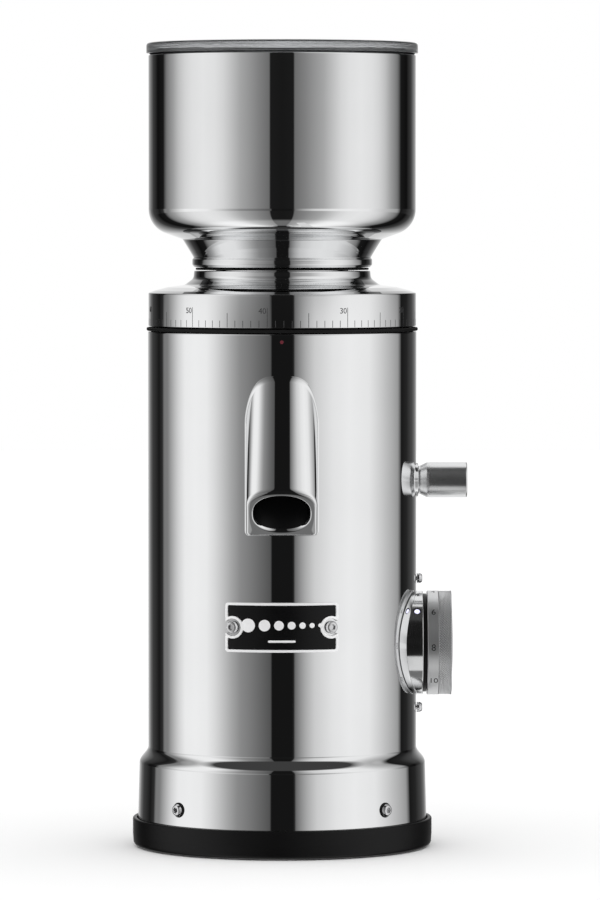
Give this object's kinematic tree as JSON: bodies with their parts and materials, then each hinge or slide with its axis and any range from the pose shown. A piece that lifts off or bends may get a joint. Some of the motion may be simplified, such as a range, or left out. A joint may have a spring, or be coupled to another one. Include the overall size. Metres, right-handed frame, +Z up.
{
  "type": "burr coffee grinder",
  "caption": "Upright round steel coffee grinder with a lift-off hopper, a graduated grind ring, a front spout, a side lever and a side dose dial.",
  "frame": {"origin": "centre of the rubber pad's underside, on the body's axis", "axes": "+Z up along the body's axis, -Y to the front where the spout is, +X to the side of the lever and dial"},
  "size_m": [0.1392, 0.1398, 0.334],
  "materials": {
    "polished_steel": "mirror-polished stainless steel with faint fine scratches",
    "screw_steel": "turned steel screw heads",
    "dial_aluminium": "satin turned aluminium, knurled grip",
    "black_plastic": "satin black moulded plastic",
    "black_rubber": "matt black rubber",
    "plate_enamel": "black enamel in a bright steel border",
    "red_enamel": "muted red enamel",
    "lamp_lens": "frosted cool-white lens",
    "lid_glass": "clear smoked lid with a polished edge",
    "machine_steel": "machined steel",
    "cast_aluminium": "cast aluminium",
    "brass": "machined brass",
    "circuit_board": "green lacquered board"
  },
  "bodies": {
    "housing": {"outer_body": "polished_steel", "spout": "polished_steel", "lever_bezel": "polished_steel", "nameplate_screw_left": "screw_steel", "nameplate_screw_right": "screw_steel", "skirt_screw_1": "screw_steel", "skirt_screw_2": "screw_steel", "skirt_screw_3": "screw_steel", "skirt_screw_4": "screw_steel", "dial_screw_upper": "screw_steel", "dial_screw_lower": "screw_steel", "dial_housing": "dial_aluminium", "base_tray": "black_plastic", "dial_spacer": "black_plastic", "motor_cap": "black_plastic", "exit_chute": "black_plastic", "dial_sensor": "black_plastic", "lever_switch": "black_plastic", "power_supply": "black_plastic", "base_pad": "black_rubber", "body_gasket": "black_rubber", "cable_gland": "black_rubber", "nameplate": "plate_enamel", "index_mark": "red_enamel", "lamp_lens": "lamp_lens", "pillar_1": "machine_steel", "pillar_2": "machine_steel", "pillar_3": "machine_steel", "pillar_4": "machine_steel", "motor_deck": "machine_steel", "motor_can": "machine_steel", "lower_bearing": "machine_steel", "upper_bearing": "machine_steel", "lever_bracket": "machine_steel", "lever_pin": "machine_steel", "dial_bracket": "machine_steel", "grinding_chamber": "cast_aluminium", "gear_case": "cast_aluminium", "gear_cover": "cast_aluminium", "control_board": "circuit_board"},
    "scale_ring": {"scale_ring": "polished_steel"},
    "burr_holder": {"upper_burr_carrier": "brass", "upper_burr": "machine_steel"},
    "hopper": {"hopper": "polished_steel", "hopper_seal": "black_rubber"},
    "lid": {"hopper_lid": "lid_glass", "lid_seal": "black_rubber"},
    "rotor": {"motor_rotor": "machine_steel", "motor_pinion": "machine_steel"},
    "spindle": {"spindle": "machine_steel", "main_gear": "brass", "burr_carrier": "machine_steel", "lower_burr": "machine_steel", "burr_nut": "machine_steel"},
    "dial": {"dial_knob": "dial_aluminium", "dial_shaft": "machine_steel"},
    "lever": {"lever": "polished_steel"}
  },
  "joints": [
    {"name": "ring_turn", "type": "hinge", "parent": "housing", "child": "scale_ring", "pos_m": [0, 0, 0.22], "axis": [0, 0, 1], "range_deg": [-134, 76]},
    {"name": "burr_lift", "type": "slide", "parent": "scale_ring", "child": "burr_holder", "axis": [0, 0, 1], "range_m": [-0.0006, 0.0004]},
    {"name": "hopper_lift", "type": "slide", "parent": "scale_ring", "child": "hopper", "axis": [0, 0, 1], "range_m": [0, 0.05]},
    {"name": "lid_lift", "type": "slide", "parent": "hopper", "child": "lid", "axis": [0, 0, 1], "range_m": [0, 0.04]},
    {"name": "rotor_spin", "type": "hinge", "parent": "housing", "child": "rotor", "pos_m": [0, 0.03, 0.06], "axis": [0, 0, 1], "continuous": true},
    {"name": "spindle_spin", "type": "hinge", "parent": "housing", "child": "spindle", "pos_m": [0, 0, 0.14], "axis": [0, 0, 1], "continuous": true},
    {"name": "dial_turn", "type": "hinge", "parent": "housing", "child": "dial", "pos_m": [0.06, 0, 0.0846], "axis": [1, 0, 0], "range_deg": [-80, 80]},
    {"name": "lever_press", "type": "hinge", "parent": "housing", "child": "lever", "pos_m": [0.0505, 0, 0.1525], "axis": [0, 1, 0], "range_deg": [0, 5], "stiffness_Nm_per_rad": 0.6, "springref_deg": -8.59}
  ],
  "couplings": [
    {"joint": "burr_lift", "follows": "ring_turn", "m_per_rad": 0.00023873},
    {"joint": "spindle_spin", "follows": "rotor_spin", "ratio": -0.33333}
  ]
}
